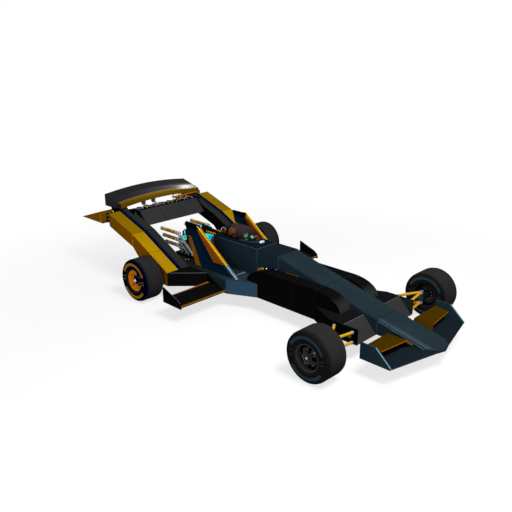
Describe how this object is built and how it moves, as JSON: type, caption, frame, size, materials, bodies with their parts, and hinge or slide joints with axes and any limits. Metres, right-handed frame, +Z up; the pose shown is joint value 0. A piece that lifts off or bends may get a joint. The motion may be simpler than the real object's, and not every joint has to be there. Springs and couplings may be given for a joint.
{
  "type": "open wheel racing car",
  "caption": "Single-seat open wheel racing car with a wedge nose, side fins, twin rising tail booms and a bowed rear wing; wheels roll and steer and the canopy opens.",
  "frame": {"origin": "centre of the car's box on the ground it stands on", "axes": "+X to the nose, +Y to the driver's left, +Z up"},
  "size_m": [6.6, 3.08, 1.3924],
  "materials": {
    "blue_paint": "satin dark slate blue",
    "black_paint": "satin black",
    "gold_paint": "satin amber gold",
    "grey_paint": "satin dark grey",
    "steel": "brushed steel",
    "gold_metal": "gloss gold",
    "tyre": "matt slick rubber",
    "rim_dark": "gloss dark grey",
    "rim_gold": "gloss gold",
    "glass": "brown tinted glass",
    "seat_leather": "brown leather",
    "plastic": "matt black"
  },
  "bodies": {
    "chassis": {"boom_left": "gold_paint", "boom_liner_left": "black_paint", "boom_liner_right": "black_paint", "boom_right": "gold_paint", "canopy_hoop": "black_paint", "cockpit_tub": "blue_paint", "dashboard": "plastic", "engine_block": "black_paint", "exhaust_left": "steel", "exhaust_right": "steel", "fin_left": "blue_paint", "fin_right": "blue_paint", "front_endplates": "blue_paint", "front_flaps": "gold_paint", "front_wing": "blue_paint", "nose_cone": "blue_paint", "rear_axle": "steel", "rear_deck": "blue_paint", "rear_fairing": "glass", "rear_panel": "grey_paint", "rear_wing": "black_paint", "rear_wing_lip": "gold_paint", "seat": "seat_leather", "side_boxes": "black_paint", "sidepod_left": "black_paint", "sidepod_right": "black_paint", "spine": "blue_paint", "suspension_tub_left": "grey_paint", "suspension_tub_right": "grey_paint", "tail_wedges": "gold_paint", "winglet_left": "black_paint", "winglet_right": "black_paint", "wishbones_left": "gold_metal", "wishbones_right": "gold_metal"},
    "knuckle_left": {"knuckle_left": "steel"},
    "wheel_front_left": {"tyre_front_left": "tyre", "rim_front_left": "rim_dark"},
    "wheel_rear_left": {"tyre_rear_left": "tyre", "rim_rear_left": "rim_gold"},
    "knuckle_right": {"knuckle_right": "steel"},
    "wheel_front_right": {"tyre_front_right": "tyre", "rim_front_right": "rim_dark"},
    "wheel_rear_right": {"tyre_rear_right": "tyre", "rim_rear_right": "rim_gold"},
    "steering_wheel": {"steering_wheel": "plastic"},
    "canopy": {"canopy_glass": "glass", "canopy_frame": "black_paint"}
  },
  "joints": [
    {"name": "steer_left", "type": "hinge", "parent": "chassis", "child": "knuckle_left", "pos_m": [2.31, 1.06, 0.3366], "axis": [0, 0, 1], "range_deg": [-20, 20]},
    {"name": "steer_right", "type": "hinge", "parent": "chassis", "child": "knuckle_right", "pos_m": [2.31, -1.06, 0.3366], "axis": [0, 0, 1], "range_deg": [-20, 20]},
    {"name": "spin_front_left", "type": "hinge", "parent": "knuckle_left", "child": "wheel_front_left", "pos_m": [2.31, 1.331, 0.3366], "axis": [0, 1, 0], "continuous": true},
    {"name": "spin_rear_left", "type": "hinge", "parent": "chassis", "child": "wheel_rear_left", "pos_m": [-1.21, 1.3309, 0.3366], "axis": [0, 1, 0], "continuous": true},
    {"name": "spin_front_right", "type": "hinge", "parent": "knuckle_right", "child": "wheel_front_right", "pos_m": [2.31, -1.331, 0.3366], "axis": [0, 1, 0], "continuous": true},
    {"name": "spin_rear_right", "type": "hinge", "parent": "chassis", "child": "wheel_rear_right", "pos_m": [-1.21, -1.3309, 0.3366], "axis": [0, 1, 0], "continuous": true},
    {"name": "steering_wheel_turn", "type": "hinge", "parent": "chassis", "child": "steering_wheel", "pos_m": [-0.20665, 0, 0.80033], "axis": [-0.9806, 0, 0.1961], "range_deg": [-180, 180]},
    {"name": "canopy_open", "type": "hinge", "parent": "chassis", "child": "canopy", "pos_m": [0.106, 0, 0.9206], "axis": [0, 1, 0], "range_deg": [0, 60]}
  ],
  "couplings": [
    {"joint": "steer_right", "follows": "steer_left", "ratio": 1},
    {"joint": "steering_wheel_turn", "follows": "steer_left", "ratio": 9}
  ]
}
